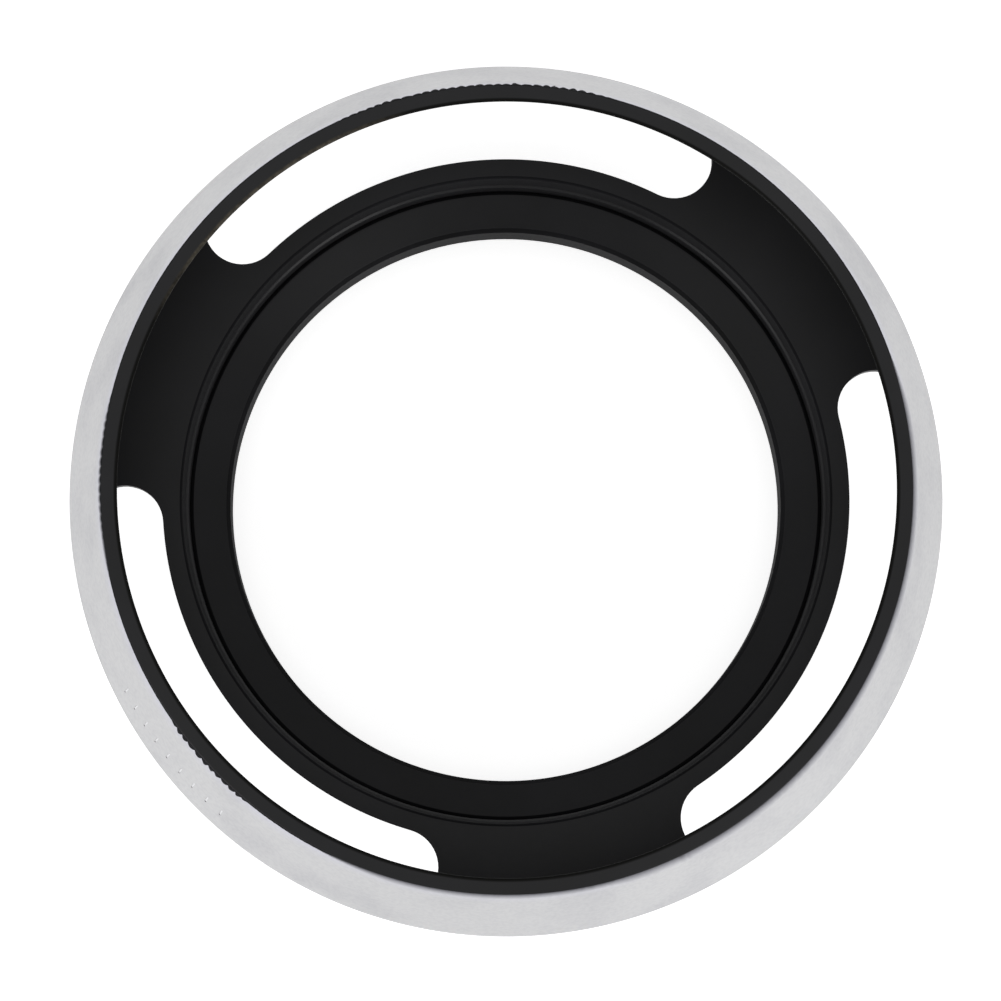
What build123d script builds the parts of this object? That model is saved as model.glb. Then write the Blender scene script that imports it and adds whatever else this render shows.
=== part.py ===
from build123d import *
from math import asin, degrees, sqrt
import os

# A vented screw-in lens hood, turned from aluminium in two pieces.
#
#   hood_shell   the flared shade, the vented dish behind it and the collar, turned as one piece
#   mount_ring   the ring with the lens's filter thread, dropped into the collar from the front
#
# The hood stands on the end of its thread. The origin is the middle of that end, +Z is the
# optical axis and points out of the front opening, and one window is centred on +Y.
# All sizes are in millimetres.

# --- Heights above the thread end ---
SEAT_Z = 3.2                # rear face of the collar, which meets the front of the lens
DISH_REAR_Z = 7.6
DISH_FLOOR_Z = 8.6
FRONT_Z = 18.2

# --- Shade: a thin wall that narrows towards the front ---
FRONT_OPENING_DIAMETER = 51.9
FRONT_EDGE_DIAMETER = 54.2
GREATEST_DIAMETER = 59.8
SHADE_FOOT_DIAMETER = 58.0  # inside the wall, where it meets the dish
SHOULDER_RADIUS = 1.8       # rounds the flank, through its widest, into the rear of the dish
EDGE_BREAK = 0.12           # small turned chamfer on the front edge

# --- Windows through the dish ---
WINDOW_COUNT = 3
WINDOW_INNER_RADIUS = 23.6
WINDOW_OUTER_RADIUS = 28.85
WINDOW_SWEEP = 70.2         # degrees, between the centres of the two rounded ends
CUTTER_OVERRUN = 0.35       # past each face of the dish; any more would notch the shade's wall

# --- Step down from the dish to the mount ring ---
STEP_TOP_DIAMETER = 44.5
STEP_FOOT_DIAMETER = 44.2
STEP_FOOT_Z = 6.6
STEP_EDGE_BREAK = 0.4       # chamfer where the dish floor turns down into the step

# --- Collar and the seat in it for the mount ring ---
COLLAR_DIAMETER = 45.9
SEAT_BORE_DIAMETER = 43.9
SEAT_LEAD_IN = 0.15         # height of the lead-in above the seat bore
LIP_TOP_Z = 3.9             # the ring's flange rests here
LIP_DIAMETER = 41.5

# --- Mount ring ---
FIT_CLEARANCE = 0.02        # on the radius, taken up by the adhesive
FLANGE_FRONT_Z = 4.95
FLANGE_CHAMFER = 0.15
WELL_FOOT_DIAMETER = 39.0   # the flange's conical front face ends here
WELL_FOOT_Z = 3.8
MOUTH_Z = 3.5
LIGHT_BORE_DIAMETER = 38.4
THREAD_DIAMETER = 40.5      # M40.5 x 0.5, crest diameter
THREAD_LEAD_IN = 0.35
THREAD_END_Z = 2.5          # the relief groove slopes in from here
RELIEF_DIAMETER = 39.6
REAR_BORE_CHAMFER = 0.25


def tangent_point(outside, centre, radius):
    """Where the line from a point outside a circle touches it, on the side away from the axis."""
    sight = centre - outside
    half_angle = asin(radius / sight.length)
    reach = sqrt(sight.length**2 - radius**2)
    return outside + sight.normalized().rotate(Axis.Z, degrees(half_angle)) * reach


def shade_outline():
    """Half section of the shade, the dish and the collar, as a face in the XZ plane."""
    front_outer = Vector(FRONT_EDGE_DIAMETER / 2, FRONT_Z - EDGE_BREAK)
    shoulder_centre = Vector(GREATEST_DIAMETER / 2 - SHOULDER_RADIUS, DISH_REAR_Z + SHOULDER_RADIUS)
    shoulder_foot = shoulder_centre - Vector(0, SHOULDER_RADIUS)
    flank_foot = tangent_point(front_outer, shoulder_centre, SHOULDER_RADIUS)
    with BuildSketch(Plane.XZ) as outline:
        with BuildLine():
            Line(front_outer, flank_foot)
            RadiusArc(flank_foot, shoulder_foot, SHOULDER_RADIUS)
            Polyline(
                shoulder_foot,
                (COLLAR_DIAMETER / 2, DISH_REAR_Z),
                (COLLAR_DIAMETER / 2, SEAT_Z),
                (LIP_DIAMETER / 2, SEAT_Z),
                (LIP_DIAMETER / 2, LIP_TOP_Z),
                (SEAT_BORE_DIAMETER / 2, LIP_TOP_Z),
                (SEAT_BORE_DIAMETER / 2, STEP_FOOT_Z - SEAT_LEAD_IN),
                (STEP_FOOT_DIAMETER / 2, STEP_FOOT_Z),
                (STEP_TOP_DIAMETER / 2, DISH_FLOOR_Z - STEP_EDGE_BREAK),
                (STEP_TOP_DIAMETER / 2 + STEP_EDGE_BREAK, DISH_FLOOR_Z),
                (SHADE_FOOT_DIAMETER / 2, DISH_FLOOR_Z),
                (FRONT_OPENING_DIAMETER / 2, FRONT_Z - EDGE_BREAK),
                (FRONT_OPENING_DIAMETER / 2 + EDGE_BREAK, FRONT_Z),
                (FRONT_EDGE_DIAMETER / 2 - EDGE_BREAK, FRONT_Z),
                front_outer,
            )
        make_face()
    return outline.sketch


def window_cutters():
    """The curved slots with round ends, as prisms that pass through the dish and clear the wall."""
    width = WINDOW_OUTER_RADIUS - WINDOW_INNER_RADIUS
    centreline = (WINDOW_OUTER_RADIUS + WINDOW_INNER_RADIUS) / 2
    with BuildPart() as cutters:
        with BuildSketch(Plane.XY.offset(DISH_REAR_Z - CUTTER_OVERRUN)):
            for number in range(WINDOW_COUNT):
                middle = 90 + number * 360 / WINDOW_COUNT
                arc = CenterArc((0, 0), centreline, middle - WINDOW_SWEEP / 2, WINDOW_SWEEP)
                SlotArc(arc, width)
        extrude(amount=DISH_FLOOR_Z - DISH_REAR_Z + 2 * CUTTER_OVERRUN)
    return cutters.part


def hood_shell():
    """The shade, dish and collar in one turned piece, with the windows milled from behind."""
    with BuildPart() as shell:
        add(revolve(shade_outline(), axis=Axis.Z))
        add(window_cutters(), mode=Mode.SUBTRACT)
    return shell.part


def mount_ring():
    """The flanged ring: conical front face, light bore, neck, relief groove and thread land."""
    flange_radius = SEAT_BORE_DIAMETER / 2 - FIT_CLEARANCE
    neck_radius = LIP_DIAMETER / 2 - FIT_CLEARANCE
    thread_radius = THREAD_DIAMETER / 2
    relief_radius = RELIEF_DIAMETER / 2
    bore_radius = LIGHT_BORE_DIAMETER / 2
    with BuildPart() as ring:
        with BuildSketch(Plane.XZ):
            with BuildLine():
                Polyline(
                    (flange_radius, LIP_TOP_Z),
                    (flange_radius, FLANGE_FRONT_Z - FLANGE_CHAMFER),
                    (flange_radius - FLANGE_CHAMFER, FLANGE_FRONT_Z),
                    (WELL_FOOT_DIAMETER / 2, WELL_FOOT_Z),
                    (bore_radius, MOUTH_Z),
                    (bore_radius, REAR_BORE_CHAMFER),
                    (bore_radius + REAR_BORE_CHAMFER, 0),
                    (thread_radius - THREAD_LEAD_IN, 0),
                    (thread_radius, THREAD_LEAD_IN),
                    (thread_radius, THREAD_END_Z),
                    (relief_radius, THREAD_END_Z + (thread_radius - relief_radius) / 2),
                    (relief_radius, SEAT_Z),
                    (neck_radius, SEAT_Z),
                    (neck_radius, LIP_TOP_Z),
                    close=True,
                )
            make_face()
        revolve(axis=Axis.Z)
    return ring.part


os.makedirs("parts", exist_ok=True)
export_step(hood_shell(), "parts/hood_shell.step")
export_step(mount_ring(), "parts/mount_ring.step")
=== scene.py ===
"""The vented screw-in lens hood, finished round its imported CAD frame.

Two turned pieces stand for the two CAD nodes:

* HoodShell, the shade with its vented dish, step and collar
* MountRing, the ring with the lens's filter thread, seated in the collar

Sizes in the classes are millimetres, as (radius, height above the thread end).
"""
import logging
import math
from collections.abc import Callable, Sequence
from dataclasses import dataclass, field
from enum import Enum

import bmesh
import bpy
from mathutils import Matrix, Vector


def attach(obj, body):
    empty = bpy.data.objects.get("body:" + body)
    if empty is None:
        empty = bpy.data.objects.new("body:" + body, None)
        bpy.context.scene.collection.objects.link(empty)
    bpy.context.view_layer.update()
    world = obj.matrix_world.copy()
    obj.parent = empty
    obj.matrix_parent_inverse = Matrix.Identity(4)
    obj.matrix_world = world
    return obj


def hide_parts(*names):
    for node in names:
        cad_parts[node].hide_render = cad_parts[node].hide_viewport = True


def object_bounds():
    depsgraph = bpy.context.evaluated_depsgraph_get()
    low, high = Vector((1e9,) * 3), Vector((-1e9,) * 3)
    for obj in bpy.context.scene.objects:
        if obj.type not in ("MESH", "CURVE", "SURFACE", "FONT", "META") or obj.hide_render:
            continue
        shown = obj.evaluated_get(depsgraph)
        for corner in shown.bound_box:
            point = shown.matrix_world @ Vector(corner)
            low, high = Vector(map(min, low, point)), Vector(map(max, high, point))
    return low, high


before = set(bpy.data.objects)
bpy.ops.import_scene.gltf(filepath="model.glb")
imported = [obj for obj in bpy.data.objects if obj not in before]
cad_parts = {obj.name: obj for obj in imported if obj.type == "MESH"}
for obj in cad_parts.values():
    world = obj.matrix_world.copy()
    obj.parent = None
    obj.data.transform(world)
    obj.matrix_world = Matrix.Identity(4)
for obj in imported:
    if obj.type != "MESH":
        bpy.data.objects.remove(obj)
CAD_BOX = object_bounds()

MM = 0.001
ROOT_BODY = "root"

log = logging.getLogger("lens_hood")

Point = tuple[float, float]
Socket = bpy.types.NodeSocket
Tree = bpy.types.NodeTree

MERGE_DISTANCE = 1e-7           # metres; closes the seam of a turned piece
SHARP_DEGREES = 40              # corners of a finished piece sharper than this stay sharp
LEVEL = 0.9999                  # a face is level when its normal is more upright than this
BY_AREA = 100                   # large faces set the normals at their corners


# ---------------------------------------------------------------------------
# Working by hand in Blender
# ---------------------------------------------------------------------------

def deselect_everything() -> None:
    """Leave object mode as the only mode and nothing selected."""
    if bpy.context.object and bpy.context.object.mode != "OBJECT":
        bpy.ops.object.mode_set(mode="OBJECT")
    bpy.ops.object.select_all(action="DESELECT")


def make_active(piece: bpy.types.Object) -> None:
    """Select one object alone.

    Args:
        piece: the object that the next operators act on.
    """
    deselect_everything()
    piece.select_set(True)
    bpy.context.view_layer.objects.active = piece


def draw_loop(name: str, points: Sequence[Vector]) -> bpy.types.Object:
    """Draw a closed loop of edges: a vertex is extruded from point to point, and the ends joined.

    Args:
        name: the new object's name.
        points: the loop's corners in metres, without the first one repeated.

    Returns:
        The object, at the origin and in edit mode, with the whole loop selected.
    """
    deselect_everything()
    bpy.ops.mesh.primitive_plane_add(size=MM, location=points[0])
    piece = bpy.context.object
    piece.name = piece.data.name = name
    bpy.ops.object.transform_apply(location=True, rotation=True, scale=True)
    bpy.ops.object.mode_set(mode="EDIT")
    bpy.ops.mesh.select_mode(type="VERT")
    bpy.ops.mesh.select_all(action="SELECT")
    bpy.ops.mesh.merge(type="CENTER")
    for start, end in zip(points, points[1:]):
        bpy.ops.mesh.extrude_region_move(TRANSFORM_OT_translate={"value": end - start})
    bpy.ops.mesh.select_all(action="DESELECT")
    shape = bmesh.from_edit_mesh(piece.data)
    for corner in shape.verts:
        if len(corner.link_edges) == 1:
            corner.select_set(True)
    shape.select_flush_mode()
    bmesh.update_edit_mesh(piece.data)
    bpy.ops.mesh.edge_face_add()
    bpy.ops.mesh.select_all(action="SELECT")
    return piece


def turn(name: str, outline: Sequence[Point], steps: int) -> bpy.types.Object:
    """Turn a closed outline about Z.

    Args:
        name: the new object's name.
        outline: (radius, height) points in millimetres, round the section once.
        steps: flats round the turned piece.

    Returns:
        The closed, outward-facing piece, in object mode.
    """
    corners = [Vector((radius * MM, 0.0, height * MM)) for radius, height in outline]
    piece = draw_loop(name, corners)
    bpy.ops.mesh.spin(steps=steps, angle=math.tau, center=(0, 0, 0), axis=(0, 0, 1))
    bpy.ops.mesh.select_all(action="SELECT")
    bpy.ops.mesh.remove_doubles(threshold=MERGE_DISTANCE)
    bpy.ops.mesh.normals_make_consistent(inside=False)
    bpy.ops.object.mode_set(mode="OBJECT")
    return piece


def arc(centre: Point, radius: float, start: float, end: float, steps: int) -> list[Point]:
    """Points along an arc.

    Args:
        centre: the arc's centre, in millimetres.
        radius: in millimetres.
        start: first angle in degrees, from the first axis towards the second.
        end: last angle in degrees.
        steps: chords in the arc.

    Returns:
        steps + 1 points.
    """
    angles = [math.radians(start + (end - start) * step / steps) for step in range(steps + 1)]
    return [(centre[0] + radius * math.cos(a), centre[1] + radius * math.sin(a)) for a in angles]


def rounded(corners: Sequence[tuple[float, float, float]], steps: int = 3) -> list[Point]:
    """Break every corner of a closed outline with its own radius.

    Args:
        corners: (radius, height, break) in millimetres; a break of 0 stays sharp.
        steps: chords in each broken corner.

    Returns:
        The outline's points.
    """
    points: list[Point] = []
    for index, (x, y, size) in enumerate(corners):
        here = Vector((x, y))
        if size == 0:
            points.append((x, y))
            continue
        before = (Vector(corners[index - 1][:2]) - here).normalized()
        after = (Vector(corners[(index + 1) % len(corners)][:2]) - here).normalized()
        half = before.angle(after) / 2
        start = here + before * size / math.tan(half)
        end = here + after * size / math.tan(half)
        middle = here + (before + after).normalized() * size / math.sin(half)
        for step in range(steps + 1):
            way = start.lerp(end, step / steps) - middle
            on_arc = middle + way.normalized() * size
            points.append((on_arc.x, on_arc.y))
    return points


def apply_modifier(piece: bpy.types.Object, kind: str, **settings: object) -> None:
    """Add a modifier, set it and apply it.

    Args:
        piece: the object to change.
        kind: Blender's type name for the modifier.
        **settings: the modifier's properties.
    """
    make_active(piece)
    modifier = piece.modifiers.new(kind.title(), kind)
    for key, value in settings.items():
        setattr(modifier, key, value)
    bpy.ops.object.modifier_apply(modifier=modifier.name)


def ring_of(first: bpy.types.Object, places: Sequence[float]) -> bpy.types.Object:
    """Copy a finished object round Z and join the copies.

    Args:
        first: the object, modelled at 0 degrees.
        places: where each copy goes, in degrees anticlockwise from where it was modelled.

    Returns:
        One object that holds a copy at every place.
    """
    copies = []
    for place in places:
        twin = first.copy()
        twin.data = first.data.copy()
        twin.data.transform(Matrix.Rotation(math.radians(place), 4, "Z"))
        bpy.context.scene.collection.objects.link(twin)
        copies.append(twin)
    bpy.data.objects.remove(first)
    make_active(copies[0])
    for twin in copies:
        twin.select_set(True)
    bpy.ops.object.join()
    return copies[0]


def select_edges(piece: bpy.types.Object, wanted: Callable[[bmesh.types.BMEdge], bool]) -> int:
    """Go into edit mode with only the wanted edges selected.

    Args:
        piece: the object to edit.
        wanted: says whether an edge is selected.

    Returns:
        How many edges are selected.
    """
    make_active(piece)
    bpy.ops.object.mode_set(mode="EDIT")
    bpy.ops.mesh.select_mode(type="EDGE")
    bpy.ops.mesh.select_all(action="DESELECT")
    shape = bmesh.from_edit_mesh(piece.data)
    found = [edge for edge in shape.edges if wanted(edge)]
    for edge in found:
        edge.select_set(True)
    bmesh.update_edit_mesh(piece.data)
    return len(found)


def bounds_flat(edge: bmesh.types.BMEdge) -> bool:
    """Whether an edge has a level face on one side only."""
    return [abs(face.normal.z) > LEVEL for face in edge.link_faces].count(True) == 1


def shade(piece: bpy.types.Object) -> None:
    """Smooth the turned surfaces and keep the flat ones flat.

    Args:
        piece: the finished object.
    """
    make_active(piece)
    bpy.ops.object.shade_smooth_by_angle(angle=math.radians(SHARP_DEGREES))
    select_edges(piece, bounds_flat)
    bpy.ops.mesh.mark_sharp()
    bpy.ops.object.mode_set(mode="OBJECT")
    apply_modifier(piece, "WEIGHTED_NORMAL", keep_sharp=True, weight=BY_AREA)


# ---------------------------------------------------------------------------
# Finishes
# ---------------------------------------------------------------------------

UNIT = (0.0, 1.0)
FALLING = (1.0, 0.0)
ACROSS_THE_RINGS = 0.25         # of a turn, from the way that the tool's rings run

# The Mix node's sockets by number, because its numbers and colours have the same names.
MIX_NUMBERS = (2, 3)
MIX_COLOURS = (6, 7)
MIXED_NUMBER, MIXED_COLOUR = 0, 2


def linear(hex_colour: str) -> tuple[float, float, float, float]:
    """Turn an sRGB colour into Blender's linear values, by the two parts of the sRGB curve.

    Args:
        hex_colour: the colour, as #RRGGBB.

    Returns:
        Red, green, blue and an alpha of 1.
    """
    shares = [int(hex_colour[i:i + 2], 16) / 255 for i in (1, 3, 5)]
    red, green, blue = (s / 12.92 if s <= 0.04045 else ((s + 0.055) / 1.055) ** 2.4 for s in shares)
    return (red, green, blue, 1.0)


def set_inputs(tree: Tree, node: bpy.types.Node, inputs: dict) -> None:
    """Set or link some of a node's inputs.

    Args:
        tree: the material's node tree.
        node: the node.
        inputs: for each input's name or number, a value or another node's output socket.
    """
    for key, value in inputs.items():
        if isinstance(value, Socket):
            tree.links.new(value, node.inputs[key])
        else:
            node.inputs[key].default_value = value


def add_node(
    tree: Tree, kind: str, inputs: dict | None = None, **settings: object
) -> bpy.types.Node:
    """Add a shader node.

    Args:
        tree: the material's node tree.
        kind: the node's type, without the leading "ShaderNode".
        inputs: for each input's name or number, a value or another node's output socket.
        **settings: the node's own properties.

    Returns:
        The node.
    """
    node = tree.nodes.new("ShaderNode" + kind)
    for key, value in settings.items():
        setattr(node, key, value)
    set_inputs(tree, node, inputs or {})
    return node


def start_material(name: str) -> tuple[bpy.types.Material, Tree, bpy.types.Node]:
    """Make a material with nothing but its Principled shader and output.

    Args:
        name: the finish's name.

    Returns:
        The material, its node tree and its Principled node.
    """
    material = bpy.data.materials.new(name)
    material.use_nodes = True
    tree = material.node_tree
    return material, tree, tree.nodes["Principled BSDF"]


def object_place(tree: Tree) -> Socket:
    """The point's place on the object, in metres."""
    return add_node(tree, "TexCoord").outputs["Object"]


def noise(tree: Tree, place: Socket, size_mm: float, detail: float) -> Socket:
    """Noise whose features are about size_mm across, as an output from 0 to 1.

    Args:
        tree: the material's node tree.
        place: the coordinates, in metres.
        size_mm: how large a blotch or grain is.
        detail: octaves of finer noise on top.

    Returns:
        The noise's value socket.
    """
    inputs = {"Vector": place, "Scale": 1 / (size_mm * MM), "Detail": detail}
    return add_node(tree, "TexNoise", inputs).outputs["Fac"]


def bump(tree: Tree, height: Socket, depth_mm: float) -> Socket:
    """Fine relief too small for the mesh.

    Args:
        tree: the material's node tree.
        height: the relief, from 0 to 1.
        depth_mm: how deep it is.

    Returns:
        The normal that the shader takes.
    """
    inputs = {"Height": height, "Distance": depth_mm * MM, "Strength": 1.0}
    return add_node(tree, "Bump", inputs).outputs["Normal"]


def ring_tangent(tree: Tree) -> Socket:
    """The way that the tool's rings run round the axis."""
    return add_node(tree, "Tangent", direction_type="RADIAL", axis="Z").outputs["Tangent"]


def remap(tree: Tree, value: Socket, source: Point, target: Point) -> Socket:
    """Map a value from one range to another, clamped at both ends.

    Args:
        tree: the material's node tree.
        value: the value to map.
        source: the range that it comes from.
        target: what the source's two ends become.

    Returns:
        The mapped value.
    """
    node = add_node(tree, "MapRange", {
        "Value": value,
        "From Min": source[0],
        "From Max": source[1],
        "To Min": target[0],
        "To Max": target[1],
    })
    return node.outputs["Result"]


def maths(tree: Tree, operation: str, *values: object) -> Socket:
    """Work out one Math node from sockets and numbers."""
    return add_node(tree, "Math", dict(enumerate(values)), operation=operation).outputs[0]


def blend_number(tree: Tree, factor: Socket, low: object, high: object) -> Socket:
    """Mix two numbers, each a value or a socket."""
    inputs = {"Factor": factor, MIX_NUMBERS[0]: low, MIX_NUMBERS[1]: high}
    return add_node(tree, "Mix", inputs, data_type="FLOAT").outputs[MIXED_NUMBER]


def blend_colour(tree: Tree, factor: Socket, low: object, high: object) -> Socket:
    """Mix two colours, each an RGBA value or a socket."""
    inputs = {"Factor": factor, MIX_COLOURS[0]: low, MIX_COLOURS[1]: high}
    return add_node(tree, "Mix", inputs, data_type="RGBA").outputs[MIXED_COLOUR]


def round_axis(tree: Tree, place: Socket) -> tuple[Socket, Socket, Socket]:
    """Turn Object coordinates into places round the axis.

    Args:
        tree: the material's node tree.
        place: Object coordinates.

    Returns:
        The angle in radians, and the radius and the height in metres.
    """
    axes = add_node(tree, "SeparateXYZ", {0: place})
    x, y = axes.outputs["X"], axes.outputs["Y"]
    squares = maths(tree, "ADD", maths(tree, "MULTIPLY", x, x), maths(tree, "MULTIPLY", y, y))
    return maths(tree, "ARCTAN2", y, x), maths(tree, "SQRT", squares), axes.outputs["Z"]


@dataclass(frozen=True)
class Stretch:
    """A stretch of the front edge, by angle, where the paint has crept, thinned out or chipped."""

    middle: float               # degrees anticlockwise from +X
    spread: float               # degrees to each side
    fade: float                 # degrees over which it dies away
    share: float = 1.0          # of the full effect


def along(tree: Tree, angle: Socket, stretches: Sequence[Stretch]) -> Socket:
    """Work out where the stretches lie.

    Args:
        tree: the material's node tree.
        angle: round the axis, in radians.
        stretches: the stretches to take in, at least one.

    Returns:
        Each stretch's share inside it, and 0 away from them all.
    """
    total = None
    for stretch in stretches:
        away = maths(tree, "COSINE", maths(tree, "SUBTRACT", angle, math.radians(stretch.middle)))
        outer = math.cos(math.radians(stretch.spread + stretch.fade))
        inner = math.cos(math.radians(stretch.spread))
        inside = remap(tree, away, (outer, inner), (0.0, stretch.share))
        total = inside if total is None else maths(tree, "MAXIMUM", total, inside)
    return total


@dataclass(frozen=True)
class PaintEdge:
    """Where the inside's black paint ends on the silver flank, in teeth left by the masking."""

    front_z: float = 18.2
    edge_radius: float = 27.1
    creep: float = 0.08         # least height of paint on the flank
    tooth_height: float = 0.85
    tooth_pitch: float = 0.63
    tooth_share: Point = (0.5, 1.0)     # of the full height, from the lowest tooth to the highest
    share_noise: Point = (0.35, 0.65)
    share_size: float = 1.1     # neighbours this close are about as high
    wander: float = 4.0         # radians; pushes the teeth out of an even row
    wander_size: float = 3.0
    nick_noise: Point = (0.5, 0.6)      # a nick comes where the noise is above this
    nick_size: float = 2.2
    fine_height: float = 0.12   # small serration all round
    fine_size: float = 0.25
    crisp: float = 0.05         # the paint thins out over this height under the teeth
    haze: float = 1.2           # and over this height where it was sprayed loosely
    thin: float = 0.0           # height of the paint where it was sprayed loosely
    fade: Point = (-1.0, 0.5)   # where the paint starts and is whole, in those heights
    toothed: tuple[Stretch, ...] = (
        Stretch(86, 14, 7),
        Stretch(168, 6, 5, 0.3),
        Stretch(214, 6, 2, 0.65),
    )
    nicked: tuple[Stretch, ...] = (Stretch(291, 8, 14, 0.2),)
    hazy: tuple[Stretch, ...] = (
        Stretch(-39, 42, 8),
        Stretch(261, 16, 12, 0.6),
        Stretch(171, 9, 5, 0.3),
    )


@dataclass(frozen=True)
class SilverAnodising:
    """Turned aluminium, bead-blasted and clear anodised: light grey with a fine satin grain."""

    name: str = "bead-blasted silver anodised aluminium"
    colour: str = "#BEBEBF"
    smudge_colour: str = "#B5B5B8"
    violet: str = "#BDBDC6"     # thin overspray beside the paint turns the silver faintly violet
    paint_colour: str = "#242426"
    roughness: float = 0.46
    smudge_roughness: float = 0.54
    paint_roughness: float = 0.8
    metal_specular: float = 0.5
    paint_specular: float = 0.02
    whole_paint: float = 0.6    # cover from which the paint has its own gloss
    speckle: float = 0.30       # blotches of the blasting
    speckle_noise: Point = (0.40, 0.65)
    grain: float = 0.16         # blasting grain; the real one is about half this and would not show
    grain_depth: float = 0.005
    smudge: float = 5.0
    smudge_noise: Point = (0.45, 0.70)
    violet_height: float = 1.6
    edge: PaintEdge = PaintEdge()

    def cover(self, tree: Tree, place: Socket) -> tuple[Socket, Socket]:
        """Work out where paint covers the flank next to the front edge.

        Args:
            tree: the material's node tree.
            place: Object coordinates.

        Returns:
            The paint's cover, from 0 on silver to 1 on paint, and the edge's nearness, from 0 to 1.
        """
        edge = self.edge
        angle, _, up = round_axis(tree, place)
        depth = maths(tree, "SUBTRACT", edge.front_z * MM, up)
        half_turns = math.pi * edge.edge_radius / edge.tooth_pitch
        wander = maths(tree, "MULTIPLY", noise(tree, place, edge.wander_size, 1.0), edge.wander)
        phase = maths(tree, "MULTIPLY_ADD", angle, half_turns, wander)
        tooth = maths(tree, "ABSOLUTE", maths(tree, "SINE", phase))
        uneven = noise(tree, place, edge.share_size, 1.0)
        share = remap(tree, uneven, edge.share_noise, edge.tooth_share)
        patch = remap(tree, noise(tree, place, edge.nick_size, 1.0), edge.nick_noise, UNIT)
        nicks = maths(tree, "MULTIPLY", patch, along(tree, angle, edge.nicked))
        reach = maths(tree, "MAXIMUM", along(tree, angle, edge.toothed), nicks)
        tooth = maths(tree, "MULTIPLY", maths(tree, "MULTIPLY", tooth, share), reach)
        hazy = along(tree, angle, edge.hazy)
        serration = noise(tree, place, edge.fine_size, 1.0)
        fine = maths(tree, "MULTIPLY", serration, edge.fine_height * MM)
        least = remap(tree, hazy, UNIT, (edge.creep * MM, edge.thin * MM))
        height = maths(tree, "MULTIPLY_ADD", tooth, edge.tooth_height * MM, least)
        height = maths(tree, "ADD", height, fine)
        soft = remap(tree, hazy, UNIT, (edge.crisp * MM, edge.haze * MM))
        above = maths(tree, "DIVIDE", maths(tree, "SUBTRACT", height, depth), soft)
        near = remap(tree, depth, (0.0, self.violet_height * MM), FALLING)
        return remap(tree, above, edge.fade, UNIT), near

    def build(self) -> bpy.types.Material:
        """Make the material.

        Returns:
            The material.
        """
        material, tree, shader = start_material(self.name)
        place = object_place(tree)
        half = (0.0, 0.5)
        smudge = remap(tree, noise(tree, place, self.smudge, 2.0), self.smudge_noise, half)
        speckle = remap(tree, noise(tree, place, self.speckle, 3.0), self.speckle_noise, half)
        mottle = maths(tree, "ADD", smudge, speckle)
        grain = noise(tree, place, self.grain, 2.0)
        paint, near = self.cover(tree, place)
        metal = blend_colour(tree, mottle, linear(self.colour), linear(self.smudge_colour))
        metal = blend_colour(tree, near, metal, linear(self.violet))
        rough = remap(tree, mottle, UNIT, (self.roughness, self.smudge_roughness))
        specular = (self.metal_specular, self.paint_specular)
        set_inputs(tree, shader, {
            "Base Color": blend_colour(tree, paint, metal, linear(self.paint_colour)),
            "Roughness": blend_number(tree, paint, rough, self.paint_roughness),
            "Metallic": remap(tree, paint, UNIT, FALLING),
            "Specular IOR Level": remap(tree, paint, (0.0, self.whole_paint), specular),
            "Normal": bump(tree, grain, self.grain_depth),
        })
        return material


@dataclass(frozen=True)
class TurnedBlack:
    """Black over turned aluminium: the tool's fine rings spread every highlight across them."""

    name: str
    colour: str = "#131315"
    worn_colour: str = "#1A1A1D"
    roughness: float = 0.42
    roughness_spread: float = 0.03
    across: float = 0.67        # how much wider a highlight is across the rings than along them
    specular: float = 0.40      # a flat black scatters some of its gloss
    speck: float = 0.12         # grain of the coat
    speck_noise: Point = (0.3, 0.7)
    speck_depth: float = 0.002
    cloud: float = 6.0
    cloud_noise: Point = (0.35, 0.75)

    def tint(self, tree: Tree, place: Socket) -> Socket:
        """Work out the coat's colour, a little uneven in soft clouds."""
        cloud = remap(tree, noise(tree, place, self.cloud, 3.0), self.cloud_noise, UNIT)
        return blend_colour(tree, cloud, linear(self.colour), linear(self.worn_colour))

    def gloss(self, tree: Tree, place: Socket) -> float | Socket:
        """Work out the coat's gloss, which is even here."""
        return self.specular

    def build(self) -> bpy.types.Material:
        """Make the material.

        Returns:
            The material.
        """
        material, tree, shader = start_material(self.name)
        place = object_place(tree)
        speck = noise(tree, place, self.speck, 3.0)
        smoothest = self.roughness - self.roughness_spread
        roughest = self.roughness + self.roughness_spread
        set_inputs(tree, shader, {
            "Base Color": self.tint(tree, place),
            "Specular IOR Level": self.gloss(tree, place),
            "Anisotropic": self.across,
            "Anisotropic Rotation": ACROSS_THE_RINGS,
            "Tangent": ring_tangent(tree),
            "Roughness": remap(tree, speck, self.speck_noise, (smoothest, roughest)),
            "Normal": bump(tree, speck, self.speck_depth),
        })
        return material


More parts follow.
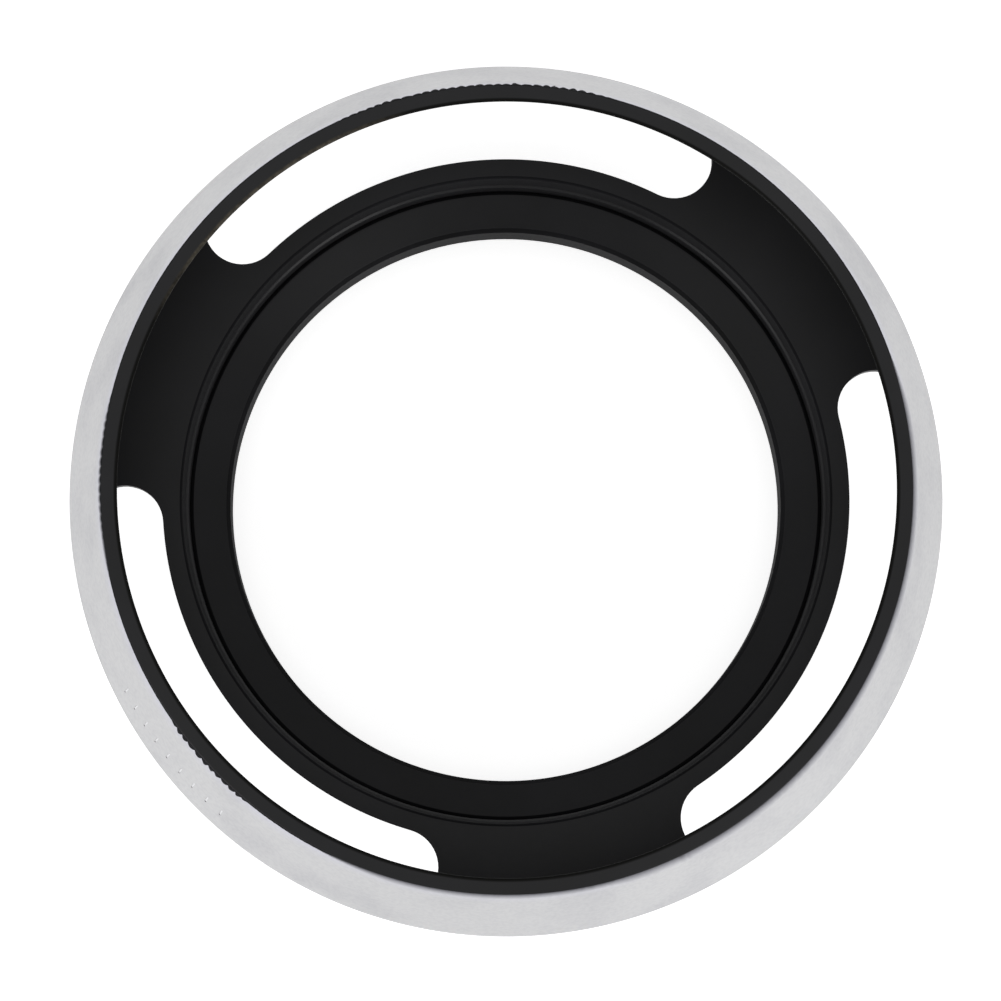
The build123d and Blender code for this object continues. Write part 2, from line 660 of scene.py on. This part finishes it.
@dataclass(frozen=True)
class RubbedBlack(TurnedBlack):
    """Paint on the front face: a little shiny, with painted shade on its inner edge, chipped in one
    place where a painted highlight joins the chips.
    """

    inner_edge_radius: float = 26.12
    inner_edge_width: float = 0.12
    inner_edge_gloss: float = 0.12
    # painted shade: this darker colour is laid all round the face's rounded inner edge
    inner_edge_shade_colour: str = "#0C0C0A"
    # the chips' warm grey is partly worn paint showing primer, partly a painted highlight on the
    # inner edge
    chip_and_highlight_colour: str = "#585349"    # the primer under the paint, a warm grey
    chip_size: float = 0.45
    chip_noise: Point = (0.30, 0.60)
    chip_share: Point = (0.25, 0.9)     # of the primer that shows, where the noise is low and high
    chipped: tuple[Stretch, ...] = (Stretch(121, 13, 12),)

    def rim(self, tree: Tree, place: Socket) -> Socket:
        """Work out how near the face's inner edge is.

        Args:
            tree: the material's node tree.
            place: Object coordinates.

        Returns:
            From 0 away from the edge to 1 on it.
        """
        _, radius, _ = round_axis(tree, place)
        start = self.inner_edge_radius * MM
        return remap(tree, radius, (start, start + self.inner_edge_width * MM), FALLING)

    def gloss(self, tree: Tree, place: Socket) -> Socket:
        """Let the gloss fall away at the face's inner edge."""
        return remap(tree, self.rim(tree, place), UNIT, (self.specular, self.inner_edge_gloss))

    def tint(self, tree: Tree, place: Socket) -> Socket:
        """Add the dark edge and the chips to the coat's colour.

        Args:
            tree: the material's node tree.
            place: Object coordinates.

        Returns:
            The colour.
        """
        face = super().tint(tree, place)
        angle, _, _ = round_axis(tree, place)
        rim = self.rim(tree, place)
        # painted shade: the inner edge darkened all round
        colour = blend_colour(tree, rim, face, linear(self.inner_edge_shade_colour))
        # worn paint and painted highlight: primer colour laid in one stretch of the inner edge
        flake = noise(tree, place, self.chip_size, 3.0)
        flake = remap(tree, flake, self.chip_noise, self.chip_share)
        wear_and_highlight = maths(tree, "MULTIPLY", flake, rim)
        wear_and_highlight = maths(tree, "MULTIPLY", wear_and_highlight, along(tree, angle, self.chipped))
        return blend_colour(tree, wear_and_highlight, colour, linear(self.chip_and_highlight_colour))


@dataclass(frozen=True)
class BareAluminium:
    """Aluminium with no coat, bright from the tool: it catches the light in a thin ring."""

    name: str = "bare turned aluminium"
    colour: str = "#CFD0D2"
    roughness: float = 0.3
    across: float = 0.6         # the tool's rings spread its highlights

    def build(self) -> bpy.types.Material:
        """Make the material.

        Returns:
            The material.
        """
        material, tree, shader = start_material(self.name)
        set_inputs(tree, shader, {
            "Base Color": linear(self.colour),
            "Metallic": 1.0,
            "Roughness": self.roughness,
            "Anisotropic": self.across,
            "Anisotropic Rotation": ACROSS_THE_RINGS,
            "Tangent": ring_tangent(tree),
        })
        return material


@dataclass(frozen=True)
class LightTable:
    """Opal acrylic lit from below: it stays white under the hood and drowns its shadow."""

    name: str = "opal light table"
    colour: str = "#F6F6F6"
    glow: float = 0.8
    roughness: float = 0.6

    def build(self) -> bpy.types.Material:
        """Make the material.

        Returns:
            The material.
        """
        material, tree, shader = start_material(self.name)
        set_inputs(tree, shader, {
            "Base Color": linear(self.colour),
            "Emission Color": linear(self.colour),
            "Emission Strength": self.glow,
            "Roughness": self.roughness,
        })
        return material


# ---------------------------------------------------------------------------
# The hood's pieces
# ---------------------------------------------------------------------------

ON_SURFACE = 0.05               # millimetres; a face this near a surface still belongs to it
TO_THE_FRONT = 0.95             # upward part of a normal that looks to the front
TO_THE_BACK = -0.5              # upward part of a normal that looks to the back
LEANS_FORWARD = 0.2             # upward part of a normal on the front face's rounded inner edge
LEANS_OUT = 0.2                 # outward part of a normal on the flank, at the least
FACES_OUT = 0.5                 # outward part of a normal on the collar, at the least
SIDEWAYS = 0.1                  # most upward part of a normal on an upright wall


@dataclass(frozen=True)
class FaceLie:
    """Where a face's middle is, and which way the face looks."""

    radius: float               # millimetres
    height: float
    outward: float              # how far the normal points away from the axis, from -1 to 1
    upward: float               # how far it points to the front


def dress(
    piece: bpy.types.Object,
    coats: dict[Enum, bpy.types.Material],
    coat_at: Callable[[FaceLie], Enum],
) -> None:
    """Give each face its finish, and smooth the piece.

    Args:
        piece: the finished piece.
        coats: the material of each finish, in the order of the finishes.
        coat_at: says which finish a face has.
    """
    piece.data.materials.clear()
    for material in coats.values():
        piece.data.materials.append(material)
    for face in piece.data.polygons:
        middle = face.center / MM
        radius = math.hypot(middle.x, middle.y)
        outward = (face.normal.x * middle.x + face.normal.y * middle.y) / radius
        lie = FaceLie(radius, middle.z, outward, face.normal.z)
        face.material_index = coat_at(lie).value
    shade(piece)


class Coat(Enum):
    """The finishes of the shell, in the order of its material slots."""

    SILVER = 0
    PAINT = 1
    RUBBED = 2
    STEP = 3
    STROKE = 4


class RingCoat(Enum):
    """The finishes of the mount ring, in the order of its material slots."""

    BLACK = 0
    MOUTH = 1
    BARE = 2


@dataclass
class Windows:
    """The three curved slots with round ends, milled through the dish from behind."""

    count: int = 3
    inner_radius: float = 23.6
    outer_radius: float = 28.85
    sweep: float = 70.2         # degrees, between the centres of the round ends
    bottom_z: float = 6.8
    top_z: float = 8.95
    rim_break: float = 0.05
    rim_steps: int = 2
    end_steps: int = 24

    @property
    def centre_radius(self) -> float:
        """Radius of the cutter's path."""
        return (self.inner_radius + self.outer_radius) / 2

    @property
    def half_width(self) -> float:
        """Radius of the cutter."""
        return (self.outer_radius - self.inner_radius) / 2

    def outline(self) -> list[Point]:
        """Draw one window centred on +Y, with about one corner for each of the shell's flats.

        Returns:
            The corners, anticlockwise.
        """
        half = self.sweep / 2
        left, right = 90 + half, 90 - half
        left_centre, right_centre = (
            (self.centre_radius * math.cos(way), self.centre_radius * math.sin(way))
            for way in (math.radians(left), math.radians(right))
        )
        steps = int(self.sweep) + 1
        outer = arc((0, 0), self.outer_radius, right, left, steps)
        left_end = arc(left_centre, self.half_width, left, left + 180, self.end_steps)
        inner = arc((0, 0), self.inner_radius, left, right, steps)
        right_end = arc(right_centre, self.half_width, right + 180, right + 360, self.end_steps)
        return outer[:-1] + left_end[:-1] + inner[:-1] + right_end[:-1]

    def cutter(self) -> bpy.types.Object:
        """Model the three prisms that the windows are cut with.

        Returns:
            One object that holds them all.
        """
        corners = [Vector((x * MM, y * MM, self.bottom_z * MM)) for x, y in self.outline()]
        first = draw_loop("window_cutter", corners)
        bpy.ops.mesh.edge_face_add()
        height = (self.top_z - self.bottom_z) * MM
        bpy.ops.mesh.extrude_region_move(TRANSFORM_OT_translate={"value": (0, 0, height)})
        bpy.ops.mesh.select_all(action="SELECT")
        bpy.ops.mesh.normals_make_consistent(inside=False)
        bpy.ops.object.mode_set(mode="OBJECT")
        return ring_of(first, [360 * number / self.count for number in range(self.count)])


@dataclass
class SizeTicks:
    """A row of short plain strokes engraved on the flank."""

    count: int = 9
    first: float = 198.6        # degrees anticlockwise from +X
    step: float = 2.6
    middle_z: float = 12.7
    length: float = 1.1
    width: float = 0.12
    depth: float = 0.03
    floor_from: float = 0.4     # of the depth; a face further in is the stroke's floor

    def cutter(self, radius: float, lean: float) -> bpy.types.Object:
        """Model the strokes as thin blocks let into the flank.

        Args:
            radius: of the flank at the strokes' middle, in millimetres.
            lean: of the flank from upright, in degrees, towards the axis at the top.

        Returns:
            One object that holds them all.
        """
        deselect_everything()
        bpy.ops.mesh.primitive_cube_add(
            size=MM,
            location=(radius * MM, 0, self.middle_z * MM),
            rotation=(0, -math.radians(lean), 0),
            scale=(self.depth * 2, self.width, self.length),
        )
        bpy.ops.object.transform_apply(location=True, rotation=True, scale=True)
        stroke = bpy.context.object
        stroke.name = "stroke"
        places = [self.first + self.step * number for number in range(self.count)]
        return ring_of(stroke, places)


@dataclass
class HoodShell:
    """The shade, the vented dish behind it and the collar, turned in one piece."""

    seat_z: float = 3.2
    lip_top_z: float = 3.9
    step_foot_z: float = 6.6
    dish_rear_z: float = 7.6
    dish_floor_z: float = 8.6
    front_z: float = 18.2
    opening_radius: float = 25.95
    front_radius: float = 27.1
    greatest_radius: float = 29.9
    foot_radius: float = 29.0
    shoulder_radius: float = 1.8
    step_top_radius: float = 22.25
    step_foot_radius: float = 22.1
    seat_radius: float = 21.95
    lead_in: float = 0.15
    lip_radius: float = 20.75
    collar_radius: float = 22.95
    wall_slope: float = 3.0     # height that the inner wall climbs for each step in
    edge_break: float = 0.12
    edge_steps: int = 3
    shoulder_steps: int = 16
    fine_break: float = 0.05
    step_break: float = 0.18
    collar_root_break: float = 0.25
    collar_foot_break: float = 0.2
    lead_in_break: float = 0.02
    foot_fillet: float = 0.03
    flats: int = 360
    windows: Windows = field(default_factory=Windows)
    ticks: SizeTicks = field(default_factory=SizeTicks)

    def flank_and_shoulder(self) -> list[Point]:
        """Draw the straight flank and the arc that it runs into, round the widest place.

        Returns:
            Points from the front edge down to the dish's rear.
        """
        centre = Vector((
            self.greatest_radius - self.shoulder_radius,
            self.dish_rear_z + self.shoulder_radius,
        ))
        front = Vector((self.front_radius, self.front_z - self.edge_break))
        sight = centre - front
        turn_out = math.asin(self.shoulder_radius / sight.length)
        touch = math.degrees(math.atan2(sight.y, sight.x) + turn_out) + 90
        shoulder = arc(tuple(centre), self.shoulder_radius, touch, -90, self.shoulder_steps)
        return [tuple(front)] + shoulder

    def outline(self) -> list[Point]:
        """Draw the section.

        Returns:
            Points from the front edge down the outside and back up the inside.
        """
        front_break = arc(
            (self.front_radius - self.edge_break, self.front_z - self.edge_break),
            self.edge_break, 90, 0, self.edge_steps,
        )
        front_corner = self.opening_radius - self.edge_break / self.wall_slope
        rest = rounded([
            (self.collar_radius, self.dish_rear_z, self.collar_root_break),
            (self.collar_radius, self.seat_z, self.collar_foot_break),
            (self.lip_radius, self.seat_z, self.fine_break),
            (self.lip_radius, self.lip_top_z, self.fine_break),
            (self.seat_radius, self.lip_top_z, 0),
            (self.seat_radius, self.step_foot_z - self.lead_in, self.lead_in_break),
            (self.step_foot_radius, self.step_foot_z, 0),
            (self.step_top_radius, self.dish_floor_z, self.step_break),
            (self.foot_radius, self.dish_floor_z, self.foot_fillet),
            (front_corner, self.front_z, self.edge_break),
            (self.front_radius, self.front_z, 0),
            (self.greatest_radius, self.dish_rear_z, 0),
        ])[:-2]
        return front_break[:-1] + self.flank_and_shoulder() + rest

    def coat_at(self, face: FaceLie) -> Coat:
        """Say which finish a face of the shell has.

        Args:
            face: how the face lies.

        Returns:
            The finish.
        """
        if face.height > self.dish_floor_z + self.fine_break:
            on_inner_edge = face.upward > LEANS_FORWARD and face.outward < 0
            if face.upward > TO_THE_FRONT or on_inner_edge:
                return Coat.RUBBED
            if face.outward < LEANS_OUT:
                return Coat.PAINT
            return Coat.STROKE if self.in_stroke(face) else Coat.SILVER
        on_shoulder = face.radius > self.windows.outer_radius + ON_SURFACE and face.outward > 0
        in_bore = face.radius < self.step_top_radius + self.step_break and face.upward > TO_THE_BACK
        lead_in_z = self.step_foot_z - self.lead_in
        on_lead_in = face.radius < self.step_foot_radius and face.height > lead_in_z
        # painted shade: the step and seat bore take a glossless copy of the black paint
        if in_bore and not on_lead_in:
            return Coat.STEP
        inside_windows = face.radius < self.windows.inner_radius - ON_SURFACE
        on_collar = inside_windows and face.outward > FACES_OUT
        silver = on_shoulder or on_collar or face.upward < TO_THE_BACK
        return Coat.SILVER if silver else Coat.PAINT

    def flank_at(self, height: float) -> float:
        """Radius of the straight flank at a height, in millimetres."""
        top, touch = self.flank_and_shoulder()[:2]
        return top[0] + (touch[0] - top[0]) * (top[1] - height) / (top[1] - touch[1])

    def in_stroke(self, face: FaceLie) -> bool:
        """Say whether a face lies below the flank's surface, in one of the engraved strokes.

        Args:
            face: how the face lies.

        Returns:
            True for a face of a stroke.
        """
        ticks = self.ticks
        near = abs(face.height - ticks.middle_z) < ticks.length / 2 + ON_SURFACE
        return near and face.radius < self.flank_at(face.height) - ticks.depth * ticks.floor_from

    def is_window_wall(self, face: bmesh.types.BMFace) -> bool:
        """Say whether a face is one of the upright walls that the cutter left.

        Args:
            face: a face of the shell.

        Returns:
            True for a wall of a window.
        """
        middle = face.calc_center_median() / MM
        radius = math.hypot(middle.x, middle.y)
        slot = self.windows
        inside = slot.inner_radius - ON_SURFACE < radius < slot.outer_radius + ON_SURFACE
        between = self.dish_rear_z < middle.z < self.dish_floor_z
        return inside and between and abs(face.normal.z) < SIDEWAYS

    def build(self) -> bpy.types.Object:
        """Turn the shell, mill the windows and break their rims.

        Returns:
            The finished piece.
        """
        shell = turn("hood_shell_turned", self.outline(), self.flats)
        cutter = self.windows.cutter()
        apply_modifier(shell, "BOOLEAN", object=cutter, operation="DIFFERENCE", solver="EXACT")
        bpy.data.objects.remove(cutter)
        rims = select_edges(
            shell,
            lambda edge: len(edge.link_faces) == 2
            and sum(self.is_window_wall(face) for face in edge.link_faces) == 1,
        )
        bpy.ops.mesh.bevel(
            offset=self.windows.rim_break * MM, segments=self.windows.rim_steps, affect="EDGES",
        )
        bpy.ops.object.mode_set(mode="OBJECT")
        strokes = self.strokes()
        apply_modifier(shell, "BOOLEAN", object=strokes, operation="DIFFERENCE", solver="EXACT")
        bpy.data.objects.remove(strokes)
        log.info("hood shell: %d rim edges broken", rims)
        return shell

    def strokes(self) -> bpy.types.Object:
        """Set the engraved strokes' cutter on the flank.

        Returns:
            The cutter.
        """
        top, touch = self.flank_and_shoulder()[:2]
        lean = math.degrees(math.atan2(touch[0] - top[0], top[1] - touch[1]))
        return self.ticks.cutter(self.flank_at(self.ticks.middle_z), lean)

@dataclass
class MountRing:
    """The black ring with the male filter thread, seated in the collar."""

    lip_top_z: float = 3.9
    seat_z: float = 3.2
    flange_radius: float = 21.93
    flange_front_z: float = 4.95
    flange_break: float = 0.26
    well_foot_radius: float = 19.5
    well_foot_z: float = 3.8
    mouth_z: float = 3.5
    bore_radius: float = 19.2
    rear_break: float = 0.25
    neck_radius: float = 20.73
    thread_radius: float = 20.25
    thread_pitch: float = 0.5
    thread_depth: float = 0.3
    thread_end_z: float = 2.5
    thread_crest: float = 1 / 8     # width of the crest, of the pitch
    thread_root: float = 3 / 4      # where the flank meets the root, of half the pitch
    lead_in: float = 0.35
    relief_radius: float = 19.8
    relief_rise: float = 0.2    # of the relief groove's sloping side
    fine_break: float = 0.05
    well_foot_break: float = 0.15
    mouth_break: float = 0.1
    end_break: float = 0.03     # of the corners at the thread end
    same_place: float = 0.001   # how exactly a corner lies on the thread land
    end_upward: float = -0.9    # upward part of a normal on the thread end, at the most
    # the darker black inside this margin is painted shade in the bore
    mouth_margin: float = 0.02  # how far inside the well's foot the sharper black starts
    rows_per_pitch: int = 16
    flats: int = 360

    def outline(self) -> list[Point]:
        """Draw the section, with rows of points up the thread land for the thread to be cut on.

        Returns:
            Points up the thread land, over the flange and down the bore.
        """
        rows = round(self.thread_end_z / self.thread_pitch * self.rows_per_pitch)
        land = [(self.thread_radius, self.thread_end_z * row / rows) for row in range(1, rows + 1)]
        head = rounded([
            (self.thread_radius, self.thread_end_z, 0),
            (self.relief_radius, self.thread_end_z + self.relief_rise, self.fine_break),
            (self.relief_radius, self.seat_z, self.fine_break),
            (self.neck_radius, self.seat_z, self.fine_break),
            (self.neck_radius, self.lip_top_z, 0),
            (self.flange_radius, self.lip_top_z, self.fine_break),
            (self.flange_radius, self.flange_front_z, self.flange_break),
            (self.well_foot_radius, self.well_foot_z, self.well_foot_break),
            (self.bore_radius, self.mouth_z, self.mouth_break),
            (self.bore_radius, self.rear_break, self.end_break),
            (self.bore_radius + self.rear_break, 0, self.end_break),
            (self.thread_radius - self.lead_in, 0, self.end_break),
        ])[1:]
        return land + head

    def thread_at(self, angle: float, height: float) -> float:
        """Radius of the threaded surface.

        Args:
            angle: round the axis, in radians.
            height: above the thread end, in millimetres.

        Returns:
            The radius in millimetres: flat crests, sloping flanks and flat roots.
        """
        phase = (height / self.thread_pitch - angle / math.tau) % 1.0
        from_crest = abs(phase - 0.5) * 2
        down = (from_crest - self.thread_crest) / (self.thread_root - self.thread_crest)
        share = min(max(down, 0.0), 1.0)
        cut = self.thread_radius - self.thread_depth * share
        return min(cut, self.thread_radius - self.lead_in + height)

    def cut_thread(self, ring: bpy.types.Object) -> None:
        """Move the rows of the thread land in to the thread's form.

        Args:
            ring: the turned ring.
        """
        top = self.thread_end_z + self.same_place
        for corner in ring.data.vertices:
            height = corner.co.z / MM
            radius = math.hypot(corner.co.x, corner.co.y) / MM
            off_land = abs(radius - self.thread_radius) > self.same_place
            if off_land or not self.same_place < height <= top:
                continue
            share = self.thread_at(math.atan2(corner.co.y, corner.co.x), height) / radius
            corner.co.x *= share
            corner.co.y *= share

    def build(self) -> bpy.types.Object:
        """Turn the ring and cut its thread.

        Returns:
            The finished piece.
        """
        ring = turn("mount_ring_threaded", self.outline(), self.flats)
        self.cut_thread(ring)
        return ring

    def coat_at(self, face: FaceLie) -> RingCoat:
        """Say which finish a face of the ring has.

        Args:
            face: how the face lies.

        Returns:
            The finish.
        """
        if face.upward < self.end_upward and face.height < self.lead_in:
            return RingCoat.BARE
        in_bore = face.radius < self.well_foot_radius - self.mouth_margin
        return RingCoat.MOUTH if in_bore else RingCoat.BLACK


# ---------------------------------------------------------------------------
# The studio
# ---------------------------------------------------------------------------

@dataclass(frozen=True)
class SoftBox:
    """One soft box, aimed at the hood."""

    name: str
    azimuth: float              # degrees anticlockwise from +X
    elevation: float            # degrees above the table
    watts: float
    size: float = 0.35          # metres
    distance: float = 0.9

    def hang(self) -> None:
        """Hang the lamp in its place."""
        a, e = math.radians(self.azimuth), math.radians(self.elevation)
        way = Vector((math.cos(a) * math.cos(e), math.sin(a) * math.cos(e), math.sin(e)))
        deselect_everything()
        bpy.ops.object.light_add(type="AREA", location=way * self.distance)
        lamp = bpy.context.object
        lamp.name = lamp.data.name = self.name
        lamp.rotation_mode = "QUATERNION"
        lamp.rotation_quaternion = (-way).to_track_quat("-Z", "Y")
        lamp.data.energy = self.watts
        lamp.data.size = self.size


@dataclass
class Studio:
    """A light table, a pale room, two low soft boxes, and the camera above the front opening."""

    table_size: float = 3.0
    room_colour: str = "#FFFFFF"
    zenith_strength: float = 0.6
    horizon_strength: float = 0.2
    boxes: tuple[SoftBox, ...] = (
        SoftBox("soft_box_right", azimuth=-62, elevation=18, watts=2.4),
        SoftBox("soft_box_left", azimuth=-149, elevation=18, watts=1.6),
    )
    azimuth: float = -12.45     # degrees; 0 looks along +Y
    elevation: float = 85.14
    roll: float = 3.65          # degrees, the camera turned anticlockwise
    distance: float = 300.0     # millimetres, from the camera to the front opening
    focal_mm: float = 162.1
    sensor_mm: float = 36.0
    sees_from: float = 0.01     # metres
    sees_to: float = 10.0
    aside: float = 0.44         # millimetres, of the front opening from the picture's middle
    above: float = 0.90

    def set_table(self, height: float) -> bpy.types.Object:
        """Put the table under the hood.

        Args:
            height: of the table's top, in metres.

        Returns:
            The table.
        """
        deselect_everything()
        bpy.ops.mesh.primitive_plane_add(size=self.table_size, location=(0, 0, height))
        bpy.ops.object.transform_apply(location=True, rotation=True, scale=True)
        table = bpy.context.object
        table.name = "light_table"
        table.data.materials.append(LightTable().build())
        return table

    def light(self) -> None:
        """Light the room, brighter overhead than at the horizon, and hang the soft boxes."""
        world = bpy.data.worlds.new("studio room")
        world.use_nodes = True
        tree = world.node_tree
        background = tree.nodes["Background"]
        background.inputs["Color"].default_value = linear(self.room_colour)
        way = add_node(tree, "TexCoord").outputs["Generated"]
        height = add_node(tree, "SeparateXYZ", {0: way}).outputs["Z"]
        strength = remap(tree, height, UNIT, (self.horizon_strength, self.zenith_strength))
        tree.links.new(strength, background.inputs["Strength"])
        bpy.context.scene.world = world
        for box in self.boxes:
            box.hang()

    def place_camera(self, front: Vector) -> None:
        """Put the camera over the front opening.

        Args:
            front: the middle of the front opening, in metres.
        """
        a, e = math.radians(self.azimuth), math.radians(self.elevation)
        back = Vector((math.sin(a) * math.cos(e), -math.cos(a) * math.cos(e), math.sin(e)))
        level = (-back).to_track_quat("-Z", "Y").to_matrix()
        turn_to = level @ Matrix.Rotation(math.radians(self.roll), 3, "Z")
        right, up = turn_to.col[0], turn_to.col[1]
        deselect_everything()
        bpy.ops.object.camera_add()
        camera = bpy.context.object
        camera.name = "camera"
        offset = back * self.distance - right * self.aside - up * self.above
        camera.location = front + offset * MM
        camera.rotation_mode = "QUATERNION"
        camera.rotation_quaternion = turn_to.to_quaternion()
        camera.data.sensor_width = self.sensor_mm
        camera.data.lens = self.focal_mm
        camera.data.clip_start = self.sees_from
        camera.data.clip_end = self.sees_to
        bpy.context.scene.camera = camera


def main() -> None:
    """Build the pieces, dress them, and set up the studio."""
    shell_maker = HoodShell()
    shell = shell_maker.build()
    dress(shell, {
        Coat.SILVER: SilverAnodising().build(),
        Coat.PAINT: TurnedBlack("matt black paint on turned aluminium").build(),
        Coat.RUBBED: RubbedBlack("black paint, rubbed on the front face", specular=0.45).build(),
        # painted shade: the same black with its gloss cut, so the recess round the ring looks
        # shaded
        Coat.STEP: TurnedBlack(
            "black paint in the step, its gloss cut as painted shade", roughness=0.7, specular=0.12,
        ).build(),
        Coat.STROKE: BareAluminium(
            "bared aluminium in the engraved strokes", colour="#DADADC", roughness=0.5, across=0.0,
        ).build(),
    }, shell_maker.coat_at)
    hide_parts("hood_shell")
    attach(shell, ROOT_BODY)
    log.info("%s: %d faces", shell.name, len(shell.data.polygons))

    ring_maker = MountRing()
    ring = ring_maker.build()
    dress(ring, {
        RingCoat.BLACK: TurnedBlack(
            "matt black anodised aluminium", roughness=0.5, across=0.3, specular=0.3,
        ).build(),
        # painted shade: a darker, glossless copy of the black in the bore and mouth
        RingCoat.MOUTH: TurnedBlack(
            "black anodised, darkened in the bore as painted shade", colour="#0C0C0D", roughness=0.6, specular=0.12,
        ).build(),
        RingCoat.BARE: BareAluminium().build(),
    }, ring_maker.coat_at)
    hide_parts("mount_ring")
    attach(ring, ROOT_BODY)
    log.info("%s: %d faces", ring.name, len(ring.data.polygons))

    low, high = CAD_BOX
    studio = Studio()
    studio.set_table(low.z)
    studio.light()
    studio.place_camera(Vector(((low.x + high.x) / 2, (low.y + high.y) / 2, high.z)))
    bpy.context.scene.view_settings.view_transform = "Standard"


if __name__ == "__main__":
    logging.basicConfig(level=logging.INFO, format="%(message)s")
    main()
